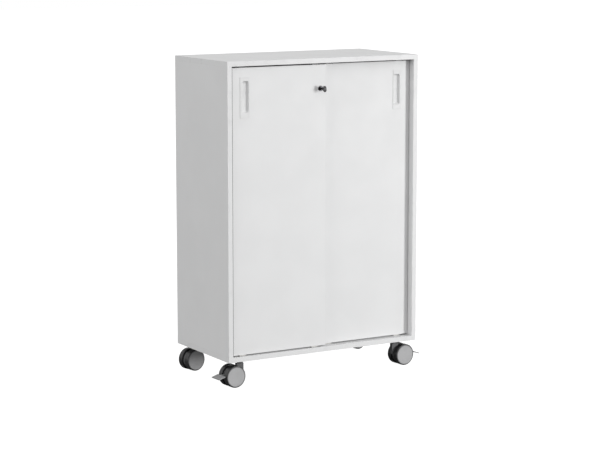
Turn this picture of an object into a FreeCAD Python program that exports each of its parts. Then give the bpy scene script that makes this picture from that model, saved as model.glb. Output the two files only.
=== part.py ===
import FreeCAD, Part
import Sketcher
import math
import os
import re

# A mobile cabinet: a melamine carcass with two shelves, two sliding doors that run in twin
# tracks, a push-in lock with its key, and four twin-wheel casters, the front two with brakes.
# Millimetres. +Z is up, the front faces -Y, and the origin is on the floor under the middle
# of the whole object, key included.

SIZES = {
    "width": (800, "carcass, over the side panels"),
    "depth": (403, "carcass, front edge to back edge"),
    "body_height": (1076, "carcass, underside to top"),
    "board": (18, "thickness of the carcass panels and shelves"),
    "edge_round": (0.6, "radius of a carcass panel's outer edges"),
    "door_round": (0.8, "radius of a door's and a shelf's edges"),
    "caster_height": (97, "floor to the underside of the carcass"),
    "back_board": (8, "thickness of the back panel"),
    "back_inset": (12, "back edge of the carcass to the back panel"),
    "back_groove": (6, "depth of the groove that holds the back panel"),
    "groove_play": (0.2, "play of the back panel in its groove"),
    "door_setback": (8, "carcass front edge to the front door's face"),
    "door_board": (16, "thickness of a door"),
    "door_space": (4, "air between the two doors"),
    "door_width": (389, "one door"),
    "door_side_gap": (1.5, "closed door to the side panel"),
    "door_gap_top": (5.2, "door to the underside of the top panel"),
    "door_gap_bottom": (4.5, "door to the upper side of the bottom panel"),
    "shelf_front": (52, "carcass front edge to the front edge of a shelf"),
    "shelf_play": (2, "shelf to each side panel"),
    "shelf_back": (1, "shelf to the back panel"),
    "pin_pitch": (32, "step of the rows of shelf pin holes"),
    "pin_count": (24, "holes in a row"),
    "pin_first": (152, "panel's lower end to the lowest pin hole"),
    "pin_front": (90, "carcass front edge to the front row of pin holes"),
    "pin_back": (330, "carcass front edge to the back row of pin holes"),
    "pin_radius": (2.5, "shelf pin"),
    "pin_deep": (10, "depth of a pin hole"),
    "pin_reach": (8, "a pin's reach out of the side panel"),
    "pin_collar": (1.5, "shelf pin's collar, its thickness and its reach round the pin"),
    "lower_pin_row": (6, "pin hole that carries the lower shelf, from 0"),
    "upper_pin_row": (17, "pin hole that carries the upper shelf, from 0"),
    "track_front": (9, "carcass front edge to the tracks"),
    "track_width": (34, "each track, front to back"),
    "channel": (6, "width of a track's channel"),
    "bottom_track_deep": (8, "bottom track, let in flush"),
    "bottom_channel_deep": (6.5, "channel that the rollers run in"),
    "top_track_deep": (10, "top track, let in flush"),
    "top_channel_deep": (9, "channel that the guides run in"),
    "fitting_inset": (45, "door's end to the middle of a roller or guide"),
    "roller_radius": (14, "door roller"),
    "roller_width": (4.6, "door roller"),
    "roller_lift": (0.3, "air left under a roller, in place of its contact flat"),
    "roller_band": (2.5, "width of a roller's raised hub and rim faces"),
    "roller_dip": (0.8, "depth of a roller's face between its hub and rim"),
    "roller_edge": (0.6, "chamfer of a roller's rim"),
    "roller_pin_radius": (1.5, "pin that a roller turns on"),
    "mortise_width": (10, "mortise for a roller housing or guide"),
    "roller_box_long": (46, "roller housing, along the door"),
    "roller_box_tall": (22, "roller housing"),
    "roller_box_roof": (2, "roller housing over the roller's slot"),
    "roller_slot_long": (34, "slot for the roller in its housing"),
    "roller_slot_wide": (5.6, "slot for the roller in its housing"),
    "guide_long": (30, "top guide, along the door"),
    "guide_deep": (15, "top guide's part inside the door"),
    "guide_tongue": (5.4, "thickness of the tongue in the top channel"),
    "tongue_rise": (12.7, "tongue's height over the door"),
    "tongue_set": (2, "guide's end to the end of its tongue"),
    "run": (0.05, "radial clearance of a running fit"),
    "plate_width": (37.5, "finger pull, over its rim"),
    "plate_height": (145.5, "finger pull, over its rim"),
    "plate_proud": (1.5, "rim's thickness in front of the door"),
    "plate_inset": (34.5, "door's outer end to the rim"),
    "plate_bottom": (852, "door's lower edge to the rim"),
    "cup_width": (25.5, "finger pull's opening"),
    "cup_height": (113, "finger pull's opening"),
    "cup_rim": (9, "rim's outer edge to the opening, on the wide side"),
    "cup_low_rim": (17.5, "rim's lower edge to the opening"),
    "cup_deep": (8, "finger pull's depth behind the door's face"),
    "cup_wall": (1.2, "finger pull's wall"),
    "rim_round": (0.6, "radius of the rim's front edges"),
    "cup_corner": (4, "corner radius of the opening"),
    "lock_inset": (23.5, "door's inner end to the lock's axis"),
    "lock_rise": (944, "door's lower edge to the lock's axis"),
    "rosette_radius": (10, "lock's collar"),
    "turned_edge": (0.5, "chamfer of the lock's turned edges"),
    "rosette_thick": (2, "lock's collar, in front of the door"),
    "sleeve_radius": (8.5, "lock housing inside the door"),
    "sleeve_back": (15.5, "lock housing's end behind the door's face"),
    "sleeve_wall": (2, "lock housing's end wall"),
    "barrel_radius": (6.5, "sliding lock barrel"),
    "barrel_proud": (11, "barrel in front of the door while unlocked"),
    "barrel_shoulder": (3, "barrel's shoulder behind the door's face"),
    "bolt_radius": (3.5, "bolt pin on the barrel"),
    "spring_wire": (0.9, "lock spring's wire diameter"),
    "spring_turns": (4, "lock spring"),
    "plug_radius": (4.5, "turning plug"),
    "plug_long": (12, "turning plug"),
    "plug_gap": (0.3, "turning plug's end to the barrel"),
    "blade_thick": (1.8, "key blade"),
    "blade_tall": (6.8, "key blade"),
    "key_end": (1, "blind end of the plug's keyway"),
    "bow_radius": (11, "key's bow"),
    "bow_thick": (3.4, "key's bow"),
    "bow_hole": (3.2, "radius of the hole in the bow"),
    "bow_web": (2.4, "bow's tip to its hole"),
    "key_reach": (32, "key's tip in front of the carcass"),
    "cam_radius": (7.5, "cam of a panel connector"),
    "cam_thick": (12.5, "cam of a panel connector"),
    "cam_from_end": (34, "panel's end to the cam's axis"),
    "cam_edge": (66, "carcass edge to the connectors"),
    "cam_bolt_radius": (3.4, "connector bolt"),
    "cam_bolt_in": (11, "connector bolt's length in the top or bottom panel"),
    "dowel_edge": (110, "carcass edge to the dowels"),
    "dowel_radius": (4, "wooden dowel"),
    "dowel_in": (11, "dowel's length in the top or bottom panel"),
    "dowel_up": (19, "dowel's length in a side panel"),
    "swivel_x": (330, "middle of the carcass to a caster's swivel axis"),
    "swivel_front": (156, "middle of the carcass to a front caster's swivel axis"),
    "swivel_rear": (165, "middle of the carcass to a rear caster's swivel axis"),
    "trail": (34, "swivel axis to the wheel axle"),
    "wheel_radius": (40, "caster wheel"),
    "wheel_inner": (8, "middle of the caster to a wheel's inner face"),
    "wheel_outer": (28.4, "middle of the caster to the tread's outer edge"),
    "tread_round": (2, "tread's shoulder radius"),
    "hub_recess": (29, "radius of the hollow in a wheel's inner side"),
    "hub_recess_deep": (14, "depth of that hollow"),
    "hub_radius": (9, "wheel's hub"),
    "cap_radius": (36.8, "disc on the outer side of a wheel"),
    "cap_outer": (30, "middle of the caster to the disc's face"),
    "cap_rim": (2.2, "raised rim of the disc"),
    "cap_dish": (0.5, "depth of the disc's face inside its rim"),
    "cap_edge": (0.6, "chamfer of the disc's rim"),
    "cap_spigot": (1, "disc's spigot, its depth and its step in from the rim"),
    "cap_seat": (2.4, "depth of the disc's seat in the wheel"),
    "cap_seat_step": (0.8, "disc's radius to the seat's"),
    "web_half": (7, "half the housing's width between the wheels"),
    "web_radius": (33, "round part of the housing"),
    "web_roof": (66, "floor to the housing's flat top behind the neck"),
    "web_roof_wide": (1, "that flat's reach past the housing on each side"),
    "arm_rise": (4, "wheel axle to the underside of the housing's arm"),
    "neck_radius": (10.5, "housing's neck over the wheels"),
    "neck_base": (83, "floor to the neck"),
    "neck_top": (91, "floor to the neck's top"),
    "stem_radius": (4.5, "caster's swivel pin"),
    "stem_low": (50, "floor to the swivel pin's lower end"),
    "stem_play": (2, "air under the swivel pin"),
    "race_gap": (0.5, "air between the neck and the plate's collar"),
    "race_wide": (1.5, "collar's reach round the neck"),
    "mount_side": (58, "caster's square plate"),
    "mount_thick": (2.5, "caster's plate"),
    "mount_hole": (20, "plate's middle to a screw, along each side"),
    "screw_radius": (1.8, "screw's shank"),
    "screw_long": (9.5, "screw's length in the bottom panel"),
    "screw_head": (4, "screw's head radius"),
    "screw_head_thick": (1.6, "screw's head"),
    "axle_radius": (4, "caster axle"),
    "axle_half": (27, "half the axle's length"),
    "pedal_pivot_x": (57, "swivel axis to the brake pedal's pivot"),
    "pedal_pivot_z": (48.5, "floor to the brake pedal's pivot"),
    "pedal_start": (77, "swivel axis to the pedal's inner edge"),
    "pedal_end": (104.7, "swivel axis to the pedal's tip"),
    "pedal_top": (43.4, "floor to the pedal's upper side at its inner edge"),
    "pedal_thick": (3.2, "brake pedal"),
    "pedal_tilt": (16.4, "degrees that the pedal rises outward"),
    "pedal_half": (26, "half the pedal's width"),
    "arm_overlap": (3, "pedal's arm under the pedal"),
    "pivot_radius": (2, "brake pedal's pivot pin"),
    "eye_radius": (4.5, "eye of the pedal's arm"),
    "arm_room_back": (6, "pedal's pivot to the back of the arm's slot"),
    "arm_room_long": (40, "arm's slot in the housing"),
    "arm_room_half": (12, "half the height of the arm's slot"),
    "arm_half": (3.6, "half the width of the pedal's arm"),
    "arm_slot": (4, "half the width of the arm's slot in the housing"),
    "yaw_front_left": (183, "degrees from +X to a caster's trailing side"),
    "yaw_front_right": (3, "as above"),
    "yaw_rear_left": (190, "as above"),
    "yaw_rear_right": (15, "as above"),
}

ALIASES = re.compile(r"\b(" + "|".join(SIZES) + r")\b")
FRONT = "(key_reach - depth) / 2"
BOTTOM = "caster_height"
INSIDE = "caster_height + board"
DOOR_BOTTOM = f"{INSIDE} + door_gap_bottom"
DOOR_HEIGHT = "body_height - 2 * board - door_gap_top - door_gap_bottom"
DOOR_TOP = f"{DOOR_BOTTOM} + {DOOR_HEIGHT}"
LEFT_DOOR_X = "board + door_side_gap - width / 2"
RIGHT_DOOR_X = "width / 2 - board - door_side_gap - door_width"
LEFT_DOOR_Y = f"{FRONT} + door_setback"
RIGHT_DOOR_Y = f"{LEFT_DOOR_Y} + door_board + door_space"
CHANNEL_MIDDLES = ("door_setback + door_board / 2", "door_setback + door_board * 1.5 + door_space")

doc = FreeCAD.newDocument("SlidingDoorCabinet")
sheet = doc.addObject("Spreadsheet::Sheet", "Sizes")
for row, (alias, (number, meaning)) in enumerate(SIZES.items(), 1):
    sheet.set(f"A{row}", meaning)
    sheet.set(f"B{row}", str(number))
    sheet.setAlias(f"B{row}", alias)
doc.recompute()

CLOSE = 0.001
LEAST_CUT = 1
nodes = []


# --- expressions, placements and node bookkeeping ---


def terms(text):
    """An expression with each size's alias pointed at the sheet."""
    return ALIASES.sub(lambda found: "Sizes." + found.group(), str(text))


def bind(thing, path, text):
    thing.setExpression(path, terms(text))


def value(text):
    """What an expression is worth now, for a shape that is worked out in code."""
    return float(sheet.evalExpression(terms(text)))


TURNS = {"Z": ((0, 0, 1), 0), "X": ((0, 1, 0), 90), "Y": ((1, 0, 0), -90)}


def place(thing, at, along="Z"):
    """Put a shape's own origin at `at`, with its own Z turned along X, Y or Z."""
    axis, degrees = TURNS[along]
    turn = FreeCAD.Rotation(FreeCAD.Vector(*axis), degrees)
    thing.Placement = FreeCAD.Placement(FreeCAD.Vector(), turn)
    for letter, text in zip("xyz", at):
        bind(thing, "Placement.Base." + letter, text)
    return thing


def node(thing, label, at=("0", "0", "0"), yaw=None, along="Z"):
    """Name a finished sub-part and put it in its place."""
    thing.Label = label
    place(thing, at, along)
    if yaw:
        any_turn = FreeCAD.Rotation(FreeCAD.Vector(0, 0, 1), 1)
        thing.Placement = FreeCAD.Placement(FreeCAD.Vector(), any_turn)
        bind(thing, "Placement.Rotation.Angle", yaw)
    nodes.append(thing)
    return thing


# --- shapes from primitives ---


def block(at, size):
    """A box from its lowest corner and its lengths along X, Y and Z."""
    made = doc.addObject("Part::Box", "Block")
    for path, text in zip(("Length", "Width", "Height"), size):
        bind(made, path, text)
    return place(made, at)


def rod(at, radius, length, along="Z"):
    """A cylinder that starts at `at` and runs along an axis."""
    made = doc.addObject("Part::Cylinder", "Rod")
    bind(made, "Radius", radius)
    bind(made, "Height", length)
    return place(made, at, along)


def fuse(*pieces):
    made = doc.addObject("Part::MultiFuse", "Fuse")
    made.Shapes = list(pieces)
    made.Refine = True
    return made


def cut(base, *tools):
    made = doc.addObject("Part::Cut", "Cut")
    made.Base = base
    made.Tool = tools[0] if len(tools) == 1 else fuse(*tools)
    return made


def group(*pieces):
    """Separate solids that share one node."""
    made = doc.addObject("Part::Compound", "Group")
    made.Links = list(pieces)
    return made


# --- shapes from sketches ---


def new_body(name):
    return doc.addObject("PartDesign::Body", name)


def sketch_on(body, role, lift="0"):
    """An empty sketch on one of the body's own planes, lifted along the plane's normal."""
    made = body.newObject("Sketcher::SketchObject", "Sketch")
    plane = [feature for feature in body.Origin.OriginFeatures if feature.Role == role][0]
    made.AttachmentSupport = [(plane, "")]
    made.MapMode = "FlatFace"
    bind(made, "AttachmentOffset.Base.z", lift)
    return made


def fix_point(sketch, geometry, end, at):
    """Pin a sketch point to expressions for its two coordinates."""
    for kind, text in zip(("DistanceX", "DistanceY"), at):
        index = sketch.addConstraint(Sketcher.Constraint(kind, -1, 1, geometry, end, value(text)))
        bind(sketch, f"Constraints[{index}]", text)


def outline(sketch, points):
    """A closed outline of straight lines through bound corners."""
    corners = [FreeCAD.Vector(value(across), value(up), 0) for across, up in points]
    count = len(points)
    lines = [
        sketch.addGeometry(Part.LineSegment(corners[index], corners[(index + 1) % count]), False)
        for index in range(count)
    ]
    for index in range(count):
        after = lines[(index + 1) % count]
        sketch.addConstraint(Sketcher.Constraint("Coincident", lines[index], 2, after, 1))
    for line, at in zip(lines, points):
        fix_point(sketch, line, 1, at)


def rectangle(sketch, low, size):
    """A rectangle from its lowest corner and its two lengths."""
    far = (f"{low[0]} + {size[0]}", f"{low[1]} + {size[1]}")
    outline(sketch, [low, (far[0], low[1]), far, (low[0], far[1])])


def circle(sketch, at, radius):
    middle = FreeCAD.Vector(value(at[0]), value(at[1]), 0)
    made = sketch.addGeometry(Part.Circle(middle, FreeCAD.Vector(0, 0, 1), value(radius)), False)
    fix_point(sketch, made, 3, at)
    index = sketch.addConstraint(Sketcher.Constraint("Radius", made, value(radius)))
    bind(sketch, f"Constraints[{index}]", radius)


def pad(body, sketch, length, backward=False):
    made = body.newObject("PartDesign::Pad", "Pad")
    made.Profile = sketch
    bind(made, "Length", length)
    made.Reversed = backward
    return made


def pocket(body, sketch, length, backward=False):
    """A pocket against the sketch's normal, or along it when backward; it has to remove material."""
    doc.recompute()
    before = body.Shape.Volume
    made = body.newObject("PartDesign::Pocket", "Pocket")
    made.Profile = sketch
    bind(made, "Length", length)
    made.Reversed = backward
    doc.recompute()
    if body.Shape.Volume > before - LEAST_CUT:
        raise ValueError(f"a pocket of {body.Label} cuts nothing")
    return made


def spin(body, sketch):
    """A solid of revolution about the sketch's upright axis."""
    made = body.newObject("PartDesign::Revolution", "Revolution")
    made.Profile = sketch
    made.ReferenceAxis = (sketch, ["V_Axis"])
    made.Angle = 360
    return made


def soften(body, feature, radius, wanted):
    """A fillet on the edges of a feature that `wanted` picks."""
    doc.recompute()
    picked = [f"Edge{index}" for index, edge in enumerate(feature.Shape.Edges, 1) if wanted(edge)]
    made = body.newObject("PartDesign::Fillet", "Fillet")
    made.Base = (feature, picked)
    bind(made, "Radius", radius)
    return made


def runs_along(edge, letter):
    """Whether an edge is a straight line along an axis."""
    if edge.Curve.TypeId != "Part::GeomLine":
        return False
    return abs(getattr(edge.Curve.Direction, letter)) > 1 - CLOSE


def is_ring(edge, radius):
    """Whether an edge is a circle of a given radius."""
    if edge.Curve.TypeId != "Part::GeomCircle":
        return False
    return abs(edge.Curve.Radius - radius) < CLOSE


# --- carcass ---

CAM_DEPTHS = ("cam_edge", "depth - cam_edge")
DOWEL_DEPTHS = ("dowel_edge", "depth - dowel_edge")
SIDE_MIDDLES = ("board / 2", "width - board / 2")
SWIVELS = {
    "front_left": ("-swivel_x", "-swivel_front"),
    "front_right": ("swivel_x", "-swivel_front"),
    "rear_left": ("-swivel_x", "swivel_rear"),
    "rear_right": ("swivel_x", "swivel_rear"),
}
SIDE_HEIGHT = "body_height - 2 * board"
GROOVE_BACK = "depth - back_inset - back_board - groove_play"
GROOVE_WIDE = "back_board + 2 * groove_play"


def cross_panel(name, track_deep, cut_up):
    """The top or bottom panel: grooves for the back and a track, and bores for the connectors."""
    body = new_body(name)
    sketch = sketch_on(body, "XY_Plane")
    rectangle(sketch, ("0", "0"), ("width", "depth"))
    slab = pad(body, sketch, "board")
    face = "0" if cut_up else "board"
    seam = value(face)
    soften(body, slab, "edge_round", lambda edge: abs(edge.CenterOfMass.z - seam) > 1)
    groove = sketch_on(body, "XY_Plane", face)
    inner = "width - 2 * board + 2 * back_groove"
    rectangle(groove, ("board - back_groove", GROOVE_BACK), (inner, GROOVE_WIDE))
    pocket(body, groove, "back_groove", cut_up)
    track = sketch_on(body, "XY_Plane", face)
    rectangle(track, ("board", "track_front"), ("width - 2 * board", "track_width"))
    pocket(body, track, track_deep, cut_up)
    bore_rows = (
        ("cam_bolt_radius", "cam_bolt_in", CAM_DEPTHS),
        ("dowel_radius", "dowel_in", DOWEL_DEPTHS),
    )
    for radius, deep, depths in bore_rows:
        bores = sketch_on(body, "XY_Plane", face)
        for across in SIDE_MIDDLES:
            for along in depths:
                circle(bores, (across, along), radius)
        pocket(body, bores, deep, cut_up)
    return body


def mount_screw_spots():
    """Every caster screw's place, from the middle of the carcass in plan."""
    for across, along in SWIVELS.values():
        for side in (-1, 1):
            for end in (-1, 1):
                yield f"{across} + {side} * mount_hole", f"{along} + {end} * mount_hole"


def carcass():
    top = cross_panel("TopPanel", "top_track_deep", True)
    node(top, "top_panel", ("-width / 2", FRONT, f"{BOTTOM} + body_height - board"))
    bottom = cross_panel("BottomPanel", "bottom_track_deep", False)
    pilots = sketch_on(bottom, "XY_Plane")
    for across, along in mount_screw_spots():
        circle(pilots, (f"width / 2 + {across}", f"depth / 2 + {along}"), "screw_radius")
    pocket(bottom, pilots, "screw_long", True)
    node(bottom, "bottom_panel", ("-width / 2", FRONT, BOTTOM))
    for side in ("left", "right"):
        side_panel(side)
    back_width = "width - 2 * board + 2 * (back_groove - groove_play)"
    back_height = f"{SIDE_HEIGHT} + 2 * (back_groove - groove_play)"
    back = new_body("BackPanel")
    sketch = sketch_on(back, "XZ_Plane")
    rectangle(sketch, ("0", "0"), (back_width, back_height))
    pad(back, sketch, "back_board", True)
    corner = "board - back_groove + groove_play"
    back_y = f"{FRONT} + depth - back_inset - back_board"
    node(back, "back_panel", (f"{corner} - width / 2", back_y, f"{BOTTOM} + {corner}"))
    for label, row in (("lower_shelf", "lower_pin_row"), ("upper_shelf", "upper_pin_row")):
        shelf(label, row)


def side_panel(side):
    """A side panel, with its connector bores, groove and rows of shelf pin holes on its inner face."""
    left = side == "left"
    body = new_body(side.capitalize() + "SidePanel")
    sketch = sketch_on(body, "YZ_Plane")
    rectangle(sketch, ("0", "0"), ("depth", SIDE_HEIGHT))
    slab = pad(body, sketch, "board")
    soften(body, slab, "edge_round", lambda edge: runs_along(edge, "z"))
    inner = "board" if left else "0"
    groove = sketch_on(body, "YZ_Plane", inner)
    rectangle(groove, (GROOVE_BACK, "0"), (GROOVE_WIDE, SIDE_HEIGHT))
    pocket(body, groove, "back_groove", not left)
    cams = sketch_on(body, "YZ_Plane", inner)
    for along in CAM_DEPTHS:
        for up in ("cam_from_end", f"{SIDE_HEIGHT} - cam_from_end"):
            circle(cams, (along, up), "cam_radius")
    pocket(body, cams, "cam_thick", not left)
    for face, backward in (("0", True), (SIDE_HEIGHT, False)):
        bolts = sketch_on(body, "XY_Plane", face)
        for along in CAM_DEPTHS:
            circle(bolts, ("board / 2", along), "cam_bolt_radius")
        pocket(body, bolts, "cam_from_end", backward)
        dowels = sketch_on(body, "XY_Plane", face)
        for along in DOWEL_DEPTHS:
            circle(dowels, ("board / 2", along), "dowel_radius")
        pocket(body, dowels, "dowel_up", backward)
    pins = sketch_on(body, "YZ_Plane", inner)
    for along in ("pin_front", "pin_back"):
        circle(pins, (along, "pin_first"), "pin_radius")
    first_pair = pocket(body, pins, "pin_deep", not left)
    rows = body.newObject("PartDesign::LinearPattern", "PinRows")
    rows.Originals = [first_pair]
    rows.Direction = (pins, ["V_Axis"])
    bind(rows, "Length", "pin_pitch * (pin_count - 1)")
    bind(rows, "Occurrences", "pin_count")
    body.Tip = rows
    across = "-width / 2" if left else "width / 2 - board"
    node(body, f"{side}_side_panel", (across, FRONT, INSIDE))


def shelf_height(row):
    """Height of the pins' middle for a shelf on a given row of holes."""
    return f"{INSIDE} + pin_first + {row} * pin_pitch"


def shelf(label, row):
    body = new_body(label.title().replace("_", ""))
    sketch = sketch_on(body, "XY_Plane")
    deep = "depth - shelf_front - back_inset - back_board - shelf_back"
    rectangle(sketch, ("0", "0"), ("width - 2 * board - 2 * shelf_play", deep))
    slab = pad(body, sketch, "board")
    soften(body, slab, "door_round", lambda edge: True)
    across = "board + shelf_play - width / 2"
    node(body, label, (across, f"{FRONT} + shelf_front", f"{shelf_height(row)} + pin_radius"))


def shelf_pins():
    """Eight pins, each with a collar against the side panel."""
    pins = []
    for row in ("lower_pin_row", "upper_pin_row"):
        for along in ("pin_front", "pin_back"):
            for inner, sign in (("board - width / 2", 1), ("width / 2 - board", -1)):
                start = f"{inner} - pin_deep" if sign > 0 else f"{inner} - pin_reach"
                middle = (f"{FRONT} + {along}", shelf_height(row))
                collar_start = inner if sign > 0 else f"{inner} - pin_collar"
                pins.append(fuse(
                    rod((start, *middle), "pin_radius", "pin_deep + pin_reach", "X"),
                    rod((collar_start, *middle), "pin_radius + pin_collar", "pin_collar", "X"),
                ))
    node(group(*pins), "shelf_pins")


def connectors():
    """Cams, their bolts and the dowels that hold the side panels to the top and bottom."""
    cams, bolts, dowels = [], [], []
    for sign in (-1, 1):
        middle_x = f"{sign} * (width / 2 - board / 2)"
        cam_start = "board - cam_thick - width / 2" if sign < 0 else "width / 2 - board"
        for low in (True, False):
            seam = INSIDE if low else f"{INSIDE} + {SIDE_HEIGHT}"
            for along in CAM_DEPTHS:
                here = f"{FRONT} + {along}"
                cam_z = f"{seam} + cam_from_end" if low else f"{seam} - cam_from_end"
                bolt_z = f"{seam} - cam_bolt_in" if low else f"{seam} - cam_from_end"
                bolt_long = "cam_bolt_in + cam_from_end"
                cam = rod((cam_start, here, cam_z), "cam_radius", "cam_thick", "X")
                bolts.append(rod((middle_x, here, bolt_z), "cam_bolt_radius", bolt_long))
                cams.append(cut(cam, rod((middle_x, here, bolt_z), "cam_bolt_radius", bolt_long)))
            for along in DOWEL_DEPTHS:
                start = f"{seam} - dowel_in" if low else f"{seam} - dowel_up"
                at = (middle_x, f"{FRONT} + {along}", start)
                dowels.append(rod(at, "dowel_radius", "dowel_in + dowel_up"))
    node(group(*cams), "connector_cams")
    node(group(*bolts), "connector_bolts")
    node(group(*dowels), "dowels")


def track(label, deep, channel_deep, low):
    """A plastic track with a channel for each door, drawn in section and padded along the carcass."""
    body = new_body(label.title().replace("_", ""))
    sketch = sketch_on(body, "YZ_Plane")
    open_side = deep if low else "0"
    floor = f"{deep} - {channel_deep}" if low else channel_deep
    far_side = "0" if low else deep
    points = [("0", far_side), ("0", open_side)]
    for middle in CHANNEL_MIDDLES:
        for edge, order in (("-", (open_side, floor)), ("+", (floor, open_side))):
            across = f"{middle} - track_front {edge} channel / 2"
            points += [(across, height) for height in order]
    points += [("track_width", open_side), ("track_width", far_side)]
    outline(sketch, points)
    pad(body, sketch, "width - 2 * board")
    height = f"{INSIDE} - {deep}" if low else f"{INSIDE} + {SIDE_HEIGHT}"
    node(body, label, ("board - width / 2", f"{FRONT} + track_front", height))


# --- doors ---


def door(side, at_x, at_y, with_lock):
    """A door panel with its finger pull, mortises, rollers and guides."""
    body = new_body(side.capitalize() + "Door")
    sketch = sketch_on(body, "XZ_Plane")
    rectangle(sketch, ("0", "0"), ("door_width", DOOR_HEIGHT))
    slab = pad(body, sketch, "door_board", True)
    soften(body, slab, "door_round", lambda edge: True)
    left = side == "left"
    cup_x = "plate_inset + cup_rim" if left else "door_width - plate_inset - cup_rim - cup_width"
    cup = sketch_on(body, "XZ_Plane")
    grown = ("cup_width + 2 * cup_wall", "cup_height + 2 * cup_wall")
    rectangle(cup, (f"{cup_x} - cup_wall", "plate_bottom + cup_low_rim - cup_wall"), grown)
    pocket(body, cup, "cup_deep + cup_wall")
    middle_y = "door_board / 2 - mortise_width / 2"
    ends = ("fitting_inset", "door_width - fitting_inset")
    mortises = sketch_on(body, "XY_Plane")
    for end in ends:
        corner = (f"{end} - roller_box_long / 2", middle_y)
        rectangle(mortises, corner, ("roller_box_long", "mortise_width"))
    pocket(body, mortises, "roller_box_tall", True)
    slots = sketch_on(body, "XY_Plane", DOOR_HEIGHT)
    for end in ends:
        rectangle(slots, (f"{end} - guide_long / 2", middle_y), ("guide_long", "mortise_width"))
    pocket(body, slots, "guide_deep")
    if with_lock:
        bore = sketch_on(body, "XZ_Plane")
        circle(bore, ("door_width - lock_inset", "lock_rise"), "sleeve_radius")
        pocket(body, bore, "door_board")
    node(body, f"{side}_door", (at_x, at_y, DOOR_BOTTOM))
    finger_pull(side, cup_x, at_x, at_y)
    door_fittings(side, ends, at_x, at_y)


def finger_pull(side, cup_x, at_x, at_y):
    """A flush pull: a rim in front of the door and a cup let into it."""
    left = side == "left"
    body = new_body(side.capitalize() + "FingerPull")
    rim = sketch_on(body, "XZ_Plane")
    rim_x = "plate_inset" if left else "door_width - plate_inset - plate_width"
    rectangle(rim, (rim_x, "plate_bottom"), ("plate_width", "plate_height"))
    pad(body, rim, "plate_proud")
    cup = sketch_on(body, "XZ_Plane")
    grown = ("cup_width + 2 * cup_wall", "cup_height + 2 * cup_wall")
    rectangle(cup, (f"{cup_x} - cup_wall", "plate_bottom + cup_low_rim - cup_wall"), grown)
    pad(body, cup, "cup_deep + cup_wall", True)
    hollow = sketch_on(body, "XZ_Plane", "plate_proud")
    rectangle(hollow, (cup_x, "plate_bottom + cup_low_rim"), ("cup_width", "cup_height"))
    inside = pocket(body, hollow, "plate_proud + cup_deep")
    deep = value("cup_deep")

    def is_cup_corner(edge):
        return runs_along(edge, "y") and edge.Length > deep

    corners = soften(body, inside, "cup_corner", is_cup_corner)
    face = -value("plate_proud")
    soften(body, corners, "rim_round", lambda edge: abs(edge.CenterOfMass.y - face) < CLOSE)
    node(body, f"{side}_door_pull", (at_x, at_y, DOOR_BOTTOM))


ROLLER_Z = "caster_height + board - bottom_channel_deep + roller_lift + roller_radius"


def door_fittings(side, ends, at_x, at_y):
    """Roller housings with their pins in the lower edge, rollers, and guides in the upper edge."""
    housings, pins, guides = [], [], []
    middle_y = f"{at_y} + door_board / 2"
    for end in ends:
        x = f"{at_x} + {end}"
        low_corner = (f"{x} - roller_box_long / 2", f"{middle_y} - mortise_width / 2", DOOR_BOTTOM)
        shell = block(low_corner, ("roller_box_long", "mortise_width", "roller_box_tall"))
        slot_corner = (f"{x} - roller_slot_long / 2", f"{middle_y} - roller_slot_wide / 2", DOOR_BOTTOM)
        slot_tall = "roller_box_tall - roller_box_roof"
        slot = block(slot_corner, ("roller_slot_long", "roller_slot_wide", slot_tall))
        pin_start = (x, f"{middle_y} - mortise_width / 2", ROLLER_Z)
        hole = rod(pin_start, "roller_pin_radius", "mortise_width", "Y")
        housings.append(cut(shell, slot, hole))
        pins.append(rod(pin_start, "roller_pin_radius", "mortise_width", "Y"))
        root_z = f"{DOOR_TOP} - guide_deep"
        root_corner = (f"{x} - guide_long / 2", f"{middle_y} - mortise_width / 2", root_z)
        root = block(root_corner, ("guide_long", "mortise_width", "guide_deep"))
        tongue_x = f"{x} - guide_long / 2 + tongue_set"
        tongue_corner = (tongue_x, f"{middle_y} - guide_tongue / 2", DOOR_TOP)
        tongue = block(tongue_corner, ("guide_long - 2 * tongue_set", "guide_tongue", "tongue_rise"))
        guides.append(fuse(root, tongue))
    node(group(*housings), f"{side}_door_roller_housings")
    node(group(*pins), f"{side}_door_roller_pins")
    node(group(*guides), f"{side}_door_guides")
    for name, end in zip(("left", "right"), ends):
        roller(f"{side}_door_{name}_roller", (f"{at_x} + {end}", middle_y, ROLLER_Z))


def roller(label, at):
    """A door roller with a grooved face on each side, turning about Y."""
    body = new_body(label.title().replace("_", ""))
    sketch = sketch_on(body, "XY_Plane")
    half = "roller_width / 2"
    bore = "roller_pin_radius + run"
    hub = "roller_pin_radius + roller_band"
    rim = "roller_radius - roller_band"
    one_side = [
        (bore, half),
        (hub, half),
        (f"{hub} + roller_edge", f"{half} - roller_dip"),
        (f"{rim} - roller_edge", f"{half} - roller_dip"),
        (rim, half),
        ("roller_radius - roller_edge", half),
        ("roller_radius", f"{half} - roller_edge"),
    ]
    other_side = [(radius, f"-({out})") for radius, out in one_side]
    outline(sketch, other_side + one_side[::-1])
    spin(body, sketch)
    node(body, label, at)


# --- lock and key, all about an axis along Y through the left door ---

SPRING_CLEAR = 0.05
WIRE_SIDES = 8
LOCK_AT = (f"{LEFT_DOOR_X} + door_width - lock_inset", LEFT_DOOR_Y, f"{DOOR_BOTTOM} + lock_rise")


def turned(label, points, at):
    """A turned piece about Y: each point is (radius, distance behind the door's face)."""
    body = new_body(label.title().replace("_", ""))
    sketch = sketch_on(body, "XY_Plane")
    outline(sketch, points)
    spin(body, sketch)
    node(body, label, at)
    return body


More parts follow.
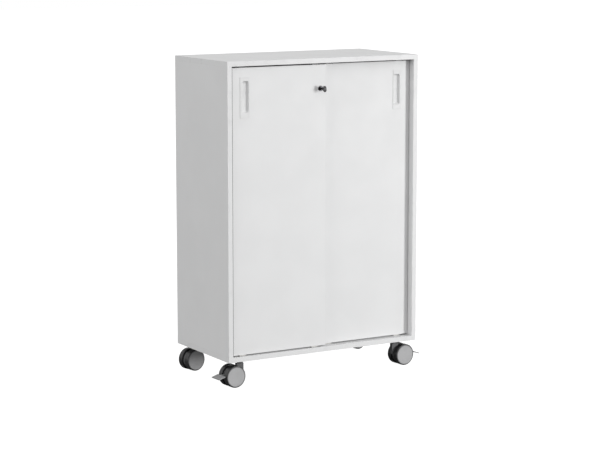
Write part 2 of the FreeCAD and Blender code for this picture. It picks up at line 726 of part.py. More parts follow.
def lock():
    bore = "barrel_radius + run"
    end_wall = "sleeve_back - sleeve_wall"
    turned("lock_housing", [
        (bore, "-rosette_thick"),
        ("rosette_radius - turned_edge", "-rosette_thick"),
        ("rosette_radius", "-rosette_thick + turned_edge"),
        ("rosette_radius", "0"),
        ("sleeve_radius", "0"),
        ("sleeve_radius", "sleeve_back"),
        ("bolt_radius + run", "sleeve_back"),
        ("bolt_radius + run", end_wall),
        (bore, end_wall),
    ], LOCK_AT)
    barrel_front = "-barrel_proud"
    plug_end = f"{barrel_front} + plug_long + plug_gap"
    turned("lock_barrel", [
        ("plug_radius + run", barrel_front),
        ("barrel_radius - turned_edge", barrel_front),
        ("barrel_radius", f"{barrel_front} + turned_edge"),
        ("barrel_radius", "barrel_shoulder"),
        ("bolt_radius", "barrel_shoulder"),
        ("bolt_radius", "sleeve_back - turned_edge"),
        ("bolt_radius - turned_edge", "sleeve_back"),
        ("0", "sleeve_back"),
        ("0", plug_end),
        ("plug_radius + run", plug_end),
    ], LOCK_AT)
    plug = new_body("LockPlug")
    disc = sketch_on(plug, "XZ_Plane", "barrel_proud")
    circle(disc, ("0", "0"), "plug_radius")
    pad(plug, disc, "plug_long", True)
    keyway = sketch_on(plug, "XZ_Plane", "barrel_proud")
    rectangle(keyway, ("-blade_thick / 2", "-blade_tall / 2"), ("blade_thick", "blade_tall"))
    pocket(plug, keyway, "plug_long - key_end")
    node(plug, "lock_plug", LOCK_AT)
    lock_spring()
    key()


def lock_spring():
    """A helical spring between the barrel's shoulder and the housing's end wall, drawn as wire."""
    wire_radius = value("spring_wire") / 2
    start = value("barrel_shoulder") + wire_radius + SPRING_CLEAR
    end = value("sleeve_back - sleeve_wall") - wire_radius - SPRING_CLEAR
    coil_radius = (value("bolt_radius") + value("barrel_radius")) / 2
    helix = Part.makeHelix((end - start) / value("spring_turns"), end - start, coil_radius)
    section = []
    for side in range(WIRE_SIDES + 1):
        angle = side * 2 * math.pi / WIRE_SIDES
        out, up = wire_radius * math.cos(angle), wire_radius * math.sin(angle)
        section.append(FreeCAD.Vector(coil_radius + out, 0, up))
    spring = doc.addObject("Part::Feature", "LockSpring")
    spring.Shape = Part.Wire(helix).makePipeShell([Part.makePolygon(section)], True, True)
    lock_x, lock_y, lock_z = LOCK_AT
    node(spring, "lock_spring", (lock_x, f"{lock_y} + {start}", lock_z), along="Y")


def key():
    """A flat key: its bow stands upright in front of the barrel and its blade lies in the plug."""
    tip = "-(door_setback + key_reach)"
    body = new_body("Key")
    bow = sketch_on(body, "YZ_Plane", "-bow_thick / 2")
    middle = f"{tip} + bow_radius"
    circle(bow, (middle, "0"), "bow_radius")
    pad(body, bow, "bow_thick")
    blade = sketch_on(body, "YZ_Plane", "-blade_thick / 2")
    blade_long = f"-barrel_proud + plug_long - key_end - ({middle})"
    rectangle(blade, (middle, "-blade_tall / 2"), (blade_long, "blade_tall"))
    pad(body, blade, "blade_thick")
    hole = sketch_on(body, "YZ_Plane", "bow_thick / 2")
    circle(hole, (f"{tip} + bow_hole + bow_web", "0"), "bow_hole")
    pocket(body, hole, "bow_thick")
    node(body, "key", LOCK_AT)


# --- casters ---


def caster_mounts():
    """The four fixed plates, each with its swivel pin, and their screws."""
    plates, screws = [], []
    middle_y = f"{FRONT} + depth / 2"
    for x, along in SWIVELS.values():
        y = f"{middle_y} + {along}"
        plate_z = "caster_height - mount_thick"
        corner = (f"{x} - mount_side / 2", f"{y} - mount_side / 2", plate_z)
        plate = block(corner, ("mount_side", "mount_side", "mount_thick"))
        pin = rod((x, y, "stem_low"), "stem_radius", f"{plate_z} - stem_low")
        race_z = "neck_top + race_gap"
        race = rod((x, y, race_z), "neck_radius + race_wide", f"{plate_z} - ({race_z})")
        holes = []
        for side in (-1, 1):
            for end in (-1, 1):
                spot = (f"{x} + {side} * mount_hole", f"{y} + {end} * mount_hole")
                holes.append(rod((*spot, plate_z), "screw_radius", "mount_thick"))
                shank = rod((*spot, plate_z), "screw_radius", "mount_thick + screw_long")
                head_z = f"{plate_z} - screw_head_thick"
                screws.append(fuse(shank, rod((*spot, head_z), "screw_head", "screw_head_thick")))
        plates.append(cut(fuse(plate, pin, race), *holes))
    node(group(*plates), "caster_plates")
    node(group(*screws), "caster_screws")


def caster(corner, with_brake):
    """One caster's turning parts, drawn about the swivel axis with the wheels trailing along +X."""
    axis_x, along = SWIVELS[corner]
    yaw = f"yaw_{corner}"
    axis_y = f"{FRONT} + depth / 2 + {along}"
    swivel = (axis_x, axis_y, "0")
    hub_x = f"{axis_x} + trail * cos({yaw} * 1 deg)"
    hub_y = f"{axis_y} + trail * sin({yaw} * 1 deg)"
    hub = (hub_x, hub_y, "wheel_radius")
    node(caster_housing(with_brake), f"{corner}_caster_housing", swivel, yaw)
    axle = rod(("0", "-axle_half", "0"), "axle_radius", "2 * axle_half", "Y")
    node(group(axle), f"{corner}_caster_axle", hub, yaw)
    for side, sign in (("front", -1), ("rear", 1)):
        facing = -sign if corner.endswith("left") else sign
        node(caster_wheel(facing), f"{corner}_caster_{side}_wheel", hub, yaw)
        node(wheel_cap(facing), f"{corner}_caster_{side}_cap", hub, yaw)
    if with_brake:
        node(brake_pedal(), f"{corner}_brake_pedal", swivel, yaw)


def caster_housing(with_brake):
    """The grey web between the wheels, with its neck, swivel bore and axle bore."""
    disc = rod(("trail", "-web_half", "wheel_radius"), "web_radius", "2 * web_half", "Y")
    arm_z = "wheel_radius + arm_rise"
    arm_size = ("neck_radius + trail", "2 * web_half", f"neck_base - ({arm_z})")
    arm = block(("-neck_radius", "-web_half", arm_z), arm_size)
    over_size = ("trail", "2 * (web_half + web_roof_wide)", "web_radius")
    over = block(("trail / 2", "-web_half - web_roof_wide", "web_roof"), over_size)
    neck = rod(("0", "0", "neck_base"), "neck_radius", "neck_top - neck_base")
    holes = [
        rod(("0", "0", "stem_low - stem_play"), "stem_radius + run", "neck_top"),
        rod(("trail", "-web_half", "wheel_radius"), "axle_radius", "2 * web_half", "Y"),
    ]
    if with_brake:
        room_corner = ("pedal_pivot_x - arm_room_back", "-arm_slot", "pedal_pivot_z - arm_room_half")
        holes.append(block(room_corner, ("arm_room_long", "2 * arm_slot", "2 * arm_room_half")))
    web = cut(fuse(disc, arm), over)
    made = cut(fuse(web, neck), *holes)
    if not with_brake:
        return made
    pivot_at = ("pedal_pivot_x", "-web_half", "pedal_pivot_z")
    pivot = rod(pivot_at, "pivot_radius", "2 * web_half", "Y")
    return fuse(made, pivot)


def caster_wheel(facing):
    """A wheel about Y, from its inner face to the seat of its disc."""
    body = new_body("CasterWheel")
    sketch = sketch_on(body, "XY_Plane")
    inner = f"{facing} * wheel_inner"
    outer = f"{facing} * wheel_outer"
    recess = f"{facing} * (wheel_inner + hub_recess_deep)"
    seat = f"{facing} * (wheel_outer - cap_seat)"
    outline(sketch, [
        ("axle_radius + run", inner),
        ("hub_radius", inner),
        ("hub_radius", recess),
        ("hub_recess", recess),
        ("hub_recess", inner),
        ("wheel_radius", inner),
        ("wheel_radius", outer),
        ("cap_radius - cap_seat_step", outer),
        ("cap_radius - cap_seat_step", seat),
        ("axle_radius + run", seat),
    ])
    turned_wheel = spin(body, sketch)
    edge_radius = value("wheel_radius")
    soften(body, turned_wheel, "tread_round", lambda edge: is_ring(edge, edge_radius))
    return body


def wheel_cap(facing):
    """The disc that closes a wheel's outer side, with a raised rim and a spigot in the wheel."""
    body = new_body("WheelCap")
    sketch = sketch_on(body, "XY_Plane")
    face = f"{facing} * cap_outer"
    dish = f"{facing} * (cap_outer - cap_dish)"
    spigot = f"{facing} * (wheel_outer - cap_spigot)"
    outline(sketch, [
        ("0", spigot),
        ("cap_radius - cap_spigot", spigot),
        ("cap_radius - cap_spigot", f"{facing} * wheel_outer"),
        ("cap_radius", f"{facing} * wheel_outer"),
        ("cap_radius", f"{facing} * (cap_outer - cap_edge)"),
        ("cap_radius - cap_edge", face),
        ("cap_radius - cap_rim", face),
        ("cap_radius - cap_rim - cap_dish", dish),
        ("0", dish),
    ])
    spin(body, sketch)
    return body


def brake_pedal():
    """A wide pedal outside the treads, on an arm that turns on a pin inside the housing."""
    half = "pedal_half"
    plate_size = ("pedal_end - pedal_start", f"2 * {half}", "pedal_thick")
    plate = block(("0", f"-{half}", "-pedal_thick"), plate_size)
    any_turn = FreeCAD.Rotation(FreeCAD.Vector(0, 1, 0), -1)
    plate.Placement = FreeCAD.Placement(FreeCAD.Vector(), any_turn)
    bind(plate, "Placement.Rotation.Angle", "pedal_tilt")
    for letter, text in zip("xyz", ("pedal_start", f"-{half}", "pedal_top")):
        bind(plate, "Placement.Base." + letter, text)
    pivot_at = ("pedal_pivot_x", "-arm_half", "pedal_pivot_z")
    eye = rod(pivot_at, "eye_radius", "2 * arm_half", "Y")
    bore = rod(pivot_at, "pivot_radius + run", "2 * arm_half", "Y")
    arm_z = "pedal_top - pedal_thick"
    arm_long = "pedal_start + arm_overlap - pedal_pivot_x"
    arm_size = (arm_long, "2 * arm_half", f"pedal_pivot_z - ({arm_z})")
    arm = block(("pedal_pivot_x", "-arm_half", arm_z), arm_size)
    return cut(fuse(plate, eye, arm), bore)


# --- the whole cabinet ---


def check_and_write():
    """Recompute, refuse anything failed or invalid, and write one STEP file for each sub-part."""
    doc.recompute()
    for thing in doc.Objects:
        if "Invalid" in thing.State or "Error" in thing.State:
            raise ValueError(f"{thing.Name} ({thing.Label}) failed: {thing.State}")
    os.makedirs("parts", exist_ok=True)
    for thing in nodes:
        if thing.Shape.isNull() or not thing.Shape.isValid() or not thing.Shape.Solids:
            raise ValueError(f"{thing.Label} has no valid solid")
        thing.Shape.exportStep(f"parts/{thing.Label}.step")
    print(len(nodes), "sub-parts written")


carcass()
shelf_pins()
connectors()
track("bottom_track", "bottom_track_deep", "bottom_channel_deep", True)
track("top_track", "top_track_deep", "top_channel_deep", False)
door("left", LEFT_DOOR_X, LEFT_DOOR_Y, True)
door("right", RIGHT_DOOR_X, RIGHT_DOOR_Y, False)
lock()
caster_mounts()
for corner in SWIVELS:
    caster(corner, corner.startswith("front"))
check_and_write()
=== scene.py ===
import math

import bmesh
import bpy
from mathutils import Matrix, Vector


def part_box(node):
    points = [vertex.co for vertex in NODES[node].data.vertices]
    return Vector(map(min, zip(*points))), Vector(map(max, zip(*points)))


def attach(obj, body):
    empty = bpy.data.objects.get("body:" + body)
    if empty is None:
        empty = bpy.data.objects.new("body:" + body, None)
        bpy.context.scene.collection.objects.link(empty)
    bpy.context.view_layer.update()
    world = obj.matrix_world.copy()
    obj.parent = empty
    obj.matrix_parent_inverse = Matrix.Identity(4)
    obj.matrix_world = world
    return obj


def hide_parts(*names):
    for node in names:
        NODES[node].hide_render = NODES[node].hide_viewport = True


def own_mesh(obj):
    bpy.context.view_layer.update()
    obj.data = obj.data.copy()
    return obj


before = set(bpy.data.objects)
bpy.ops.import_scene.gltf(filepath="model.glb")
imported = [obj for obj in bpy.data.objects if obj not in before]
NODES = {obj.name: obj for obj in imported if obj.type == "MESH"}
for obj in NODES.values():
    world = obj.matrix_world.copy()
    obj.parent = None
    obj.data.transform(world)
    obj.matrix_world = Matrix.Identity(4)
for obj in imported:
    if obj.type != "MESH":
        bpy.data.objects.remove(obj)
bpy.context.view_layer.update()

# A white mobile cabinet with two sliding doors on four twin-wheel casters.
# Metres, +Z up, front to -Y.

MM = 0.001
BAND = 1.0 * MM            # thickness of the plastic band glued on a board's edges
CORNERS = ("front_left", "front_right", "rear_left", "rear_right")
SIDES = ("front", "rear")

scene = bpy.context.scene


# --- node material helper ---


class Paint:
    """A node material under construction: each method adds nodes and returns an output socket."""

    def __init__(self, name, colour, roughness, metallic=0.0, specular=0.5):
        self.material = bpy.data.materials.new(name)
        self.material.use_nodes = True
        self.tree = self.material.node_tree
        self.tree.nodes.clear()
        self.shader = self.add("ShaderNodeBsdfPrincipled")
        output = self.add("ShaderNodeOutputMaterial")
        self.tree.links.new(self.shader.outputs["BSDF"], output.inputs["Surface"])
        self.shader.inputs["Base Color"].default_value = (*colour, 1.0)
        self.shader.inputs["Roughness"].default_value = roughness
        self.shader.inputs["Metallic"].default_value = metallic
        self.shader.inputs["Specular IOR Level"].default_value = specular
        self.place = self.add("ShaderNodeTexCoord").outputs["Object"]

    def add(self, kind, **settings):
        node = self.tree.nodes.new(kind)
        for name, setting in settings.items():
            setattr(node, name, setting)
        return node

    def feed(self, socket, source):
        """Link a socket, or set it when the source is a plain number."""
        if isinstance(source, bpy.types.NodeSocket):
            self.tree.links.new(source, socket)
        else:
            socket.default_value = source

    def math(self, operation, first, second=0.0):
        node = self.add("ShaderNodeMath", operation=operation)
        self.feed(node.inputs[0], first)
        self.feed(node.inputs[1], second)
        return node.outputs[0]

    def noise(self, size, detail=2.0, roughness=0.5, stretch=(1, 1, 1)):
        """Noise with features about `size` metres across, stretched along the axes."""
        mapping = self.add("ShaderNodeMapping")
        mapping.inputs["Scale"].default_value = tuple(1 / s for s in stretch)
        self.feed(mapping.inputs["Vector"], self.place)
        node = self.add("ShaderNodeTexNoise")
        node.inputs["Scale"].default_value = 1 / size
        node.inputs["Detail"].default_value = detail
        node.inputs["Roughness"].default_value = roughness
        self.feed(node.inputs["Vector"], mapping.outputs[0])
        return node.outputs["Fac"]

    def cells(self, size):
        """Distance to the nearest of scattered points about `size` metres apart, 0 to about 1."""
        node = self.add("ShaderNodeTexVoronoi")
        node.inputs["Scale"].default_value = 1 / size
        node.inputs["Randomness"].default_value = 1.0
        self.feed(node.inputs["Vector"], self.place)
        return node.outputs["Distance"]

    def between(self, source, low, high, to_low=0.0, to_high=1.0):
        """The source mapped from low..high to to_low..to_high, held at the ends."""
        node = self.add("ShaderNodeMapRange", interpolation_type="SMOOTHSTEP")
        ends = {"From Min": low, "From Max": high, "To Min": to_low, "To Max": to_high}
        for name, number in ends.items():
            node.inputs[name].default_value = number
        self.feed(node.inputs["Value"], source)
        return node.outputs["Result"]

    def blend(self, amount, first, second):
        """A colour between two, each a plain colour or a socket."""
        node = self.add("ShaderNodeMix", data_type="RGBA")
        self.feed(node.inputs["Factor"], amount)
        for socket, colour in ((node.inputs["A"], first), (node.inputs["B"], second)):
            if isinstance(colour, bpy.types.NodeSocket):
                self.tree.links.new(colour, socket)
            else:
                socket.default_value = (*colour, 1.0)
        return [out for out in node.outputs if out.type == "RGBA"][0]

    def colour(self, source):
        self.feed(self.shader.inputs["Base Color"], source)

    def roughness(self, source):
        self.feed(self.shader.inputs["Roughness"], source)

    def bump(self, *layers):
        """Stacked bumps: each layer is (height source 0 to 1, depth in metres)."""
        normal = None
        for height, depth in layers:
            node = self.add("ShaderNodeBump")
            node.inputs["Strength"].default_value = 1.0
            node.inputs["Distance"].default_value = depth
            self.feed(node.inputs["Height"], height)
            if normal:
                self.feed(node.inputs["Normal"], normal)
            normal = node.outputs["Normal"]
        self.feed(self.shader.inputs["Normal"], normal)

    def distance(self, point):
        """Distance in metres to a fixed point."""
        node = self.add("ShaderNodeVectorMath", operation="DISTANCE")
        self.feed(node.inputs[0], self.place)
        node.inputs[1].default_value = point
        return node.outputs["Value"]

    def axes(self):
        node = self.add("ShaderNodeSeparateXYZ")
        self.feed(node.inputs[0], self.place)
        return node.outputs


def shade(colour, factor):
    return tuple(min(1.0, channel * factor) for channel in colour)


# --- materials ---

WHITE = (0.71, 0.712, 0.714)
DISC_GREY = (0.385, 0.385, 0.39)
MOULD_TEXTURE = 0.5 * MM        # size of a moulding's grain
MOULD_DEPTH = 0.02 * MM         # and its depth
MOTTLE = 0.04                   # how far a moulding's colour wanders either way
SCRATCH = 0.35                  # how far a metal's roughness wanders either way


def board(node, tone=1.0):
    """White melamine-faced board: a fine embossed grain, and a plastic band round its edges."""
    low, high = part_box(node)
    size = high - low
    thin = min(range(3), key=lambda axis: size[axis])
    white = shade(WHITE, tone)
    paint = Paint("board_" + node, white, 0.5, specular=0.28)
    axes = paint.axes()
    edge = None
    for axis in range(3):
        if axis == thin:
            continue
        middle = (low[axis] + high[axis]) / 2
        off_middle = paint.math("ABSOLUTE", paint.math("SUBTRACT", axes[axis], middle))
        inward = paint.math("SUBTRACT", size[axis] / 2, off_middle)
        edge = inward if edge is None else paint.math("MINIMUM", edge, inward)
    from_seam = paint.math("ABSOLUTE", paint.math("SUBTRACT", edge, BAND))
    seam = paint.between(from_seam, 0.05 * MM, 0.16 * MM, 1.0, 0.0)
    band = paint.between(edge, 0.9 * BAND, BAND, 1.0, 0.0)
    cloud = paint.between(paint.noise(0.16, 3.0), 0.35, 0.65)
    grain = paint.noise(0.9 * MM, 3.0, 0.6)
    pores = paint.between(paint.cells(1.4 * MM), 0.0, 0.34)
    handled = paint.between(paint.noise(0.035, 4.0, 0.62), 0.52, 0.74)
    wear = paint.math("MULTIPLY", handled, paint.between(edge, 0.4 * MM, 3.5 * MM, 1.0, 0.0))
    face = paint.blend(cloud, shade(white, 0.982), shade(white, 1.012))
    face = paint.blend(paint.between(grain, 0.3, 0.7, 0.0, 0.5), face, shade(white, 0.975))
    face = paint.blend(band, face, shade(white, 0.985))
    face = paint.blend(paint.math("MULTIPLY", wear, 0.35), face, shade(white, 0.84))
    paint.colour(paint.blend(paint.math("MULTIPLY", seam, 0.45), face, shade(white, 0.62)))
    smudge = paint.between(paint.noise(0.07, 5.0, 0.65), 0.3, 0.75, 0.48, 0.60)
    paint.roughness(paint.math("SUBTRACT", smudge, paint.math("MULTIPLY", band, 0.02)))
    waviness = (paint.noise(0.25, 2.0), 0.25 * MM)
    paint.bump(waviness, (grain, 0.035 * MM), (pores, 0.02 * MM), (seam, -0.05 * MM))
    return paint.material


def plastic(name, colour, roughness):
    """Moulded plastic with a spark-eroded texture, soft mottling and a little sheen variation."""
    paint = Paint(name, colour, roughness)
    fine = paint.noise(MOULD_TEXTURE, 3.0, 0.6)
    cloud = paint.between(paint.noise(0.03, 4.0, 0.6), 0.3, 0.7)
    speck = paint.between(paint.noise(MOULD_TEXTURE * 1.7, 1.0), 0.35, 0.65)
    base = paint.blend(cloud, shade(colour, 1 - MOTTLE), shade(colour, 1 + MOTTLE))
    paint.colour(paint.blend(paint.math("MULTIPLY", speck, 0.35), base, shade(colour, 0.93)))
    sheen = paint.noise(0.012, 4.0, 0.6)
    paint.roughness(paint.between(sheen, 0.25, 0.75, roughness - 0.07, roughness + 0.09))
    paint.bump((fine, MOULD_DEPTH), (paint.noise(0.02, 2.0), MOULD_DEPTH * 3))
    return paint.material


def dusty_shaded_track():
    """White extruded plastic whose two channels are painted dark: dust in them, and painted shade
    down in the channels.
    """
    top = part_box("bottom_track")[1].z
    paint = Paint("track_white", WHITE, 0.42)
    above_channels = paint.between(paint.axes()[2], top - 1.6 * MM, top - 0.5 * MM)
    fibres = paint.between(paint.noise(1.2 * MM, 4.0, 0.7), 0.3, 0.7)
    # Painted shade: the channels' dark colour stands for dust and for the shade down in the
    # channels.
    dust = paint.blend(fibres, (0.018, 0.0175, 0.017), (0.04, 0.039, 0.038))
    paint.colour(paint.blend(above_channels, dust, WHITE))
    paint.roughness(paint.between(above_channels, 0.0, 1.0, 0.9, 0.42))
    paint.bump((paint.noise(0.5 * MM, 3.0, 0.6), 0.02 * MM))
    return paint.material


def metal(name, colour, roughness):
    """Plated metal with a fine grain and a slightly uneven sheen."""
    paint = Paint(name, colour, roughness, metallic=1.0)
    line = paint.noise(0.35 * MM, 4.0, 0.65)
    cloud = paint.between(paint.noise(0.008, 3.0), 0.3, 0.7)
    paint.colour(paint.blend(cloud, shade(colour, 0.86), shade(colour, 1.08)))
    smooth, rough = roughness * (1 - SCRATCH), roughness * (1 + SCRATCH)
    paint.roughness(paint.between(line, 0.3, 0.7, smooth, rough))
    paint.bump((line, 0.012 * MM))
    return paint.material


def rubber(name, colour):
    """Dark polyurethane tread: a soft sheen, dust in its fine pits, and scuffs round the tread."""
    paint = Paint(name, colour, 0.36, specular=0.6)
    pits = paint.noise(0.6 * MM, 4.0, 0.7)
    dust = paint.between(paint.noise(0.006, 5.0, 0.7), 0.5, 0.72)
    cloud = paint.between(paint.noise(0.02, 3.0), 0.3, 0.7)
    base = paint.blend(cloud, shade(colour, 0.85), shade(colour, 1.15))
    paint.colour(paint.blend(paint.math("MULTIPLY", dust, 0.12), base, (0.13, 0.13, 0.13)))
    paint.roughness(paint.between(paint.noise(0.009, 4.0, 0.6), 0.3, 0.7, 0.28, 0.46))
    paint.bump((pits, 0.012 * MM), (paint.noise(3 * MM, 2.0), 0.03 * MM))
    return paint.material


def wheel_disc(node):
    """Light grey disc over a wheel's hub, with painted shade: a darker ring over its rounded rim.
    """
    low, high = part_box(node)
    paint = Paint("disc_" + node, DISC_GREY, 0.45)
    radius = (high.z - low.z) / 2
    from_hub = paint.distance((low + high) / 2)
    # Painted shade: this mask darkens a ring over the disc's rounded rim.
    rim = paint.between(from_hub, radius - 3.0 * MM, radius - 1.6 * MM)
    cloud = paint.between(paint.noise(0.03, 4.0, 0.6), 0.3, 0.7)
    face = paint.blend(cloud, shade(DISC_GREY, 0.96), shade(DISC_GREY, 1.03))
    paint.colour(paint.blend(rim, face, shade(DISC_GREY, 0.42)))
    paint.roughness(paint.between(paint.noise(0.012, 4.0, 0.6), 0.25, 0.75, 0.38, 0.54))
    paint.bump((paint.noise(0.5 * MM, 3.0, 0.6), 0.02 * MM))
    return paint.material


def beech(name):
    """Turned beech with short darker flecks."""
    paint = Paint(name, (0.66, 0.47, 0.29), 0.6)
    fleck = paint.noise(0.8 * MM, 3.0, 0.6, stretch=(1, 1, 6))
    dark = paint.between(fleck, 0.4, 0.65)
    paint.colour(paint.blend(dark, (0.70, 0.51, 0.32), (0.53, 0.35, 0.2)))
    paint.roughness(paint.between(fleck, 0.3, 0.7, 0.5, 0.7))
    paint.bump((fleck, 0.05 * MM))
    return paint.material


def coat(material, *names):
    """Give a finish to CAD nodes: every slot of each node's object takes it."""
    for name in names:
        mesh = NODES[name].data
        if not mesh.materials:
            mesh.materials.append(material)
        for index in range(len(mesh.materials)):
            mesh.materials[index] = material


def dress_frame():
    """Finishes for the CAD nodes that stay as they are."""
    for name in ("top_panel", "bottom_panel", "left_side_panel", "right_side_panel"):
        coat(board(name), name)
    for name in ("lower_shelf", "upper_shelf", "left_door", "right_door"):
        coat(board(name), name)
    coat(board("back_panel", 0.97), "back_panel")
    coat(dusty_shaded_track(), "bottom_track")
    coat(plastic("track_grey", (0.10, 0.10, 0.102), 0.5), "top_track")
    doors = ("left_door", "right_door")
    nylon = plastic("fitting_nylon", (0.06, 0.06, 0.062), 0.5)
    coat(nylon, *(f"{door}_{part}" for door in doors for part in ("roller_housings", "guides")))
    ends = ("left", "right")
    rollers = [f"{door}_{end}_roller" for door in doors for end in ends]
    coat(plastic("roller_nylon", (0.70, 0.69, 0.66), 0.38), *rollers)
    zinc = metal("bright_zinc", (0.62, 0.63, 0.64), 0.32)
    coat(zinc, "shelf_pins", "caster_screws", "connector_bolts", "lock_spring", "caster_plates")
    coat(zinc, *(f"{door}_roller_pins" for door in doors))
    coat(zinc, *(f"{corner}_caster_axle" for corner in CORNERS))
    coat(metal("cam_zinc", (0.52, 0.52, 0.53), 0.42), "connector_cams")
    coat(beech("dowel_beech"), "dowels")
    black = metal("lock_black", (0.045, 0.045, 0.048), 0.34)
    coat(black, "lock_housing", "lock_barrel", "lock_plug")
    coat(metal("key_nickel", (0.16, 0.16, 0.163), 0.42), "key")
    housings = [f"{corner}_caster_housing" for corner in CORNERS]
    coat(plastic("caster_nylon", (0.10, 0.10, 0.103), 0.5), *housings)
    wheels = [f"{corner}_caster_{side}_" for corner in CORNERS for side in SIDES]
    coat(rubber("tread_rubber", (0.016, 0.016, 0.017)), *(wheel + "wheel" for wheel in wheels))
    for wheel in wheels:
        coat(wheel_disc(wheel + "cap"), wheel + "cap")
    pedals = ("front_left_brake_pedal", "front_right_brake_pedal")
    coat(plastic("pedal_grey", (0.30, 0.30, 0.305), 0.45), *pedals)


# --- finger pulls ---

PULL_RIM = 9.0 * MM             # rim's outer edge to the opening, on its wide side
PULL_LOW_RIM = 17.5 * MM        # rim's lower edge to the opening
PULL_OPENING = (25.5 * MM, 113.0 * MM)
PULL_WALL = 1.2 * MM
PULL_SOFT = 0.35 * MM           # softening of the rim's edges
CUP_BACK = 3.0 * MM             # rounding at the back of the cup's outer wall
CUP_CORNER = 7.0 * MM           # corner radius of the opening
SCOOP = 8.0 * MM                # how far in from the opening the cup reaches its full depth
SCOOP_STEPS = 8
CORNER_STEPS = 8
SHARP_FROM = math.radians(40)   # edges that fold more than this are left sharp
SHADE_STRIP_IN = 2.9 * MM              # left door's outer edge to the dark strip of painted shade
SHADE_STRIP_WIDE = 1.3 * MM
SHADE_STRIP_PROUD = 0.5 * MM           # dark strip in front of the door's face
SHADE_STRIP_SUNK = 0.3 * MM            # and behind it
SHADE_STRIP_ENDS = 1.0 * MM            # dark strip's ends to the door's ends


def rounded(low, high, radius, y):
    """A loop of points round a rectangle in the XZ plane at y, its corners rounded."""
    left, right = low[0] + radius, high[0] - radius
    bottom, top = low[1] + radius, high[1] - radius
    points = []
    for quarter, (x, z) in enumerate(((right, top), (left, top), (left, bottom), (right, bottom))):
        for step in range(CORNER_STEPS + 1):
            turn = (quarter + step / CORNER_STEPS) * math.pi / 2
            points.append(Vector((x + radius * math.cos(turn), y, z + radius * math.sin(turn))))
    return points


def loft(name, loops):
    """A closed skin through loops with the same number of points, capped at both ends."""
    form = bmesh.new()
    rings = [[form.verts.new(point) for point in loop] for loop in loops]
    count = len(rings[0])
    for near, far in zip(rings, rings[1:]):
        for index in range(count):
            after = (index + 1) % count
            form.faces.new((near[index], near[after], far[after], far[index]))
    form.faces.new(rings[0])
    form.faces.new(rings[-1])
    bmesh.ops.recalc_face_normals(form, faces=form.faces)
    mesh = bpy.data.meshes.new(name)
    form.to_mesh(mesh)
    form.free()
    for face in mesh.polygons:
        face.use_smooth = True
    mesh.set_sharp_from_angle(angle=SHARP_FROM)
    piece = bpy.data.objects.new(name, mesh)
    scene.collection.objects.link(piece)
    return piece


def finger_pull(side, material):
    """A flush pull: a thin rim with softened edges round a scooped cup."""
    low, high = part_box(side + "_door_pull")
    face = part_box(side + "_door")[0].y
    wide, tall = PULL_OPENING
    left = low.x + PULL_RIM if side == "left" else high.x - PULL_RIM - wide
    bottom = low.z + PULL_LOW_RIM
    opening = ((left, bottom), (left + wide, bottom + tall))
    rim = ((low.x, low.z), (high.x, high.z))

    def ring(bounds, inset, radius, y):
        (x_low, z_low), (x_high, z_high) = bounds
        return rounded((x_low + inset, z_low + inset), (x_high - inset, z_high - inset), radius, y)

    lip = low.y + PULL_SOFT
    back = [
        ring(opening, 6 * MM, 3 * MM, high.y),
        ring(opening, CUP_BACK - PULL_WALL, 4 * MM, high.y),
        ring(opening, -PULL_WALL, 6 * MM, high.y - CUP_BACK),
        ring(opening, -PULL_WALL, 6 * MM, face),
    ]
    front = [
        ring(rim, 0.0, 2 * MM, face),
        ring(rim, 0.0, 2 * MM, lip),
        ring(rim, PULL_SOFT, 1.8 * MM, low.y),
        ring(opening, -PULL_SOFT, CUP_CORNER + 0.3 * MM, low.y),
        ring(opening, 0.0, CUP_CORNER, lip),
    ]
    deepest = high.y - PULL_WALL - lip
    for step in range(1, SCOOP_STEPS + 1):
        part = step / SCOOP_STEPS
        depth = deepest * math.sin(part * math.pi / 2) ** 0.75
        front.append(ring(opening, SCOOP * part, CUP_CORNER - 0.7 * SCOOP * part, lip + depth))
    piece = loft(side + "_finger_pull", back + front)
    piece.data.materials.append(material)
    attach(piece, side + "_door")
    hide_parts(side + "_door_pull")


def edge_shade_strip(material):
    """A slim dark strip by the left door's outer edge, for the line that the photo shows there:
    painted shade, a dark piece standing for the shadow line in the gap beside the door.
    """
    low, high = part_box("left_door")
    left, right = low.x + SHADE_STRIP_IN, low.x + SHADE_STRIP_IN + SHADE_STRIP_WIDE
    bottom, top = low.z + SHADE_STRIP_ENDS, high.z - SHADE_STRIP_ENDS

    def ring(inset, proud):
        corners = (left + inset, bottom + inset), (right - inset, top - inset)
        return rounded(*corners, 0.3 * MM, low.y - proud)

    sides = [ring(0.0, -SHADE_STRIP_SUNK), ring(0.0, SHADE_STRIP_PROUD - 0.2 * MM)]
    piece = loft("left_door_edge_shade_strip", sides + [ring(0.2 * MM, SHADE_STRIP_PROUD)])
    piece.data.materials.append(material)
    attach(piece, "left_door")


# --- lock spring ---

SPRING_WIRE = 0.45 * MM         # radius
SPRING_TURNS = 4
TURN_STEPS = 32                 # steps in each turn of the coil
WIRE_SIDES = 10


def lock_spring(material):
    """The lock's coil spring, drawn again as a coil of wire in the CAD spring's place."""
    low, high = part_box("lock_spring")
    middle = (low + high) / 2
    coil = (high.x - low.x) / 2 - SPRING_WIRE
    start, end = low.y + SPRING_WIRE, high.y - SPRING_WIRE
    steps = TURN_STEPS * SPRING_TURNS
    loops = []
    for step in range(steps + 1):
        turn = 2 * math.pi * SPRING_TURNS * step / steps
        outward = Vector((math.cos(turn), 0.0, math.sin(turn)))
        along = start + (end - start) * step / steps
        centre = Vector((middle.x, along, middle.z)) + outward * coil
        loop = []
        for side in range(WIRE_SIDES):
            around = 2 * math.pi * side / WIRE_SIDES
            away = math.cos(around) * outward + math.sin(around) * Vector((0, 1, 0))
            loop.append(centre + SPRING_WIRE * away)
        loops.append(loop)
    piece = loft("lock_coil", loops)
    piece.data.materials.append(material)
    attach(piece, "left_door")
    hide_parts("lock_spring")
    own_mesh(piece)


# --- stage, light and camera ---

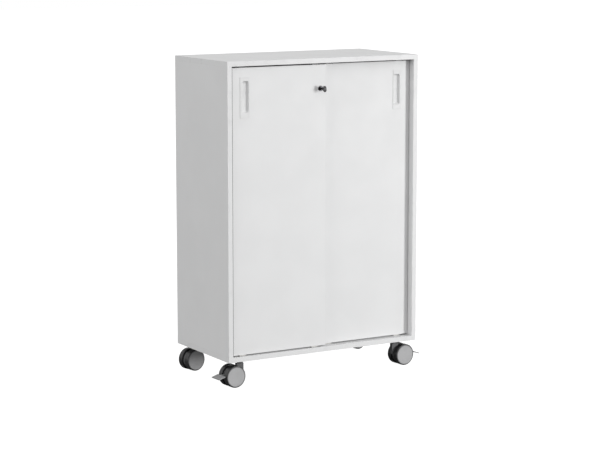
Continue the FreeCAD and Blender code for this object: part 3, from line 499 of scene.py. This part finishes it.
AIM = Vector((0.0024, -0.0019, 0.5419))
VIEW_AZIMUTH = math.radians(30.478)
VIEW_DROP = math.radians(8.669)
VIEW_DISTANCE = 7.3095
LENS = 117.94                   # millimetres
SENSOR = 36.0                   # millimetres
FLOOR_SIZE = 60.0
FLOOR_GREY = 0.15               # the floor's own grey for all light but the camera's view of it
SKY_LIT = 0.84                  # the sky's strength for all light but the camera's view of it
KEY_AIM = (0.0, 0.0, 0.5)
FILL_AIM = (0.0, 0.0, 0.6)


def camera():
    data = bpy.data.cameras.new("camera")
    data.lens = LENS
    data.sensor_width = SENSOR
    data.clip_end = 100.0
    made = bpy.data.objects.new("camera", data)
    scene.collection.objects.link(made)
    level = math.cos(VIEW_DROP)
    across, along = math.sin(VIEW_AZIMUTH) * level, math.cos(VIEW_AZIMUTH) * level
    ahead = Vector((across, along, -math.sin(VIEW_DROP)))
    made.location = AIM - ahead * VIEW_DISTANCE
    made.rotation_euler = ahead.to_track_quat("-Z", "Y").to_euler()
    scene.camera = made


def lamp(name, at, aim, size, power):
    """A square lamp: place and aim in metres, power in watts."""
    data = bpy.data.lights.new(name, "AREA")
    data.shape = "RECTANGLE"
    data.size = size
    data.size_y = size
    data.energy = power
    made = bpy.data.objects.new(name, data)
    scene.collection.objects.link(made)
    made.location = at
    made.rotation_euler = (Vector(aim) - Vector(at)).to_track_quat("-Z", "Y").to_euler()


def seen_or_lit(tree, seen, lit):
    """A strength: `seen` where the camera looks straight at it, `lit` for all other light."""
    path = tree.nodes.new("ShaderNodeLightPath")
    pick = tree.nodes.new("ShaderNodeMapRange")
    pick.inputs["To Min"].default_value = lit
    pick.inputs["To Max"].default_value = seen
    tree.links.new(path.outputs["Is Camera Ray"], pick.inputs["Value"])
    return pick.outputs["Result"]


def studio():
    """A plain floor and sky, both white to the camera, and two lamps: right front and left."""
    bpy.ops.mesh.primitive_plane_add(size=FLOOR_SIZE)
    floor = bpy.context.object
    floor.name = "floor"
    paint = Paint("floor_pale", (FLOOR_GREY,) * 3, 0.8, specular=0.2)
    darker, lighter = (FLOOR_GREY - 0.01,) * 3, (FLOOR_GREY + 0.01,) * 3
    paint.colour(paint.blend(paint.noise(0.4, 2.0), darker, lighter))
    paint.shader.inputs["Emission Color"].default_value = (1.0, 1.0, 1.0, 1.0)
    paint.feed(paint.shader.inputs["Emission Strength"], seen_or_lit(paint.tree, 1.0, 0.0))
    floor.data.materials.append(paint.material)
    world = bpy.data.worlds.new("sky")
    world.use_nodes = True
    tree = world.node_tree
    sky = tree.nodes["Background"]
    sky.inputs["Color"].default_value = (1.0, 1.0, 1.0, 1.0)
    tree.links.new(seen_or_lit(tree, 1.0, SKY_LIT), sky.inputs["Strength"])
    scene.world = world
    lamp("key_lamp", (3.6, -5.5, 1.2), KEY_AIM, 1.1, 246.0)
    lamp("fill_lamp", (-7.8, -2.0, 1.6), FILL_AIM, 4.0, 150.0)
    scene.view_settings.view_transform = "Standard"


dress_frame()
pull_plastic = plastic("pull_plastic", shade(WHITE, 0.965), 0.6)
for door_side in ("left", "right"):
    finger_pull(door_side, pull_plastic)
# A dark strip of painted shade along the left door's outer edge.
edge_shade_strip(plastic("shade_strip_dark", (0.10, 0.10, 0.10), 0.6))
lock_spring(metal("spring_steel", (0.62, 0.63, 0.64), 0.32))
studio()
camera()
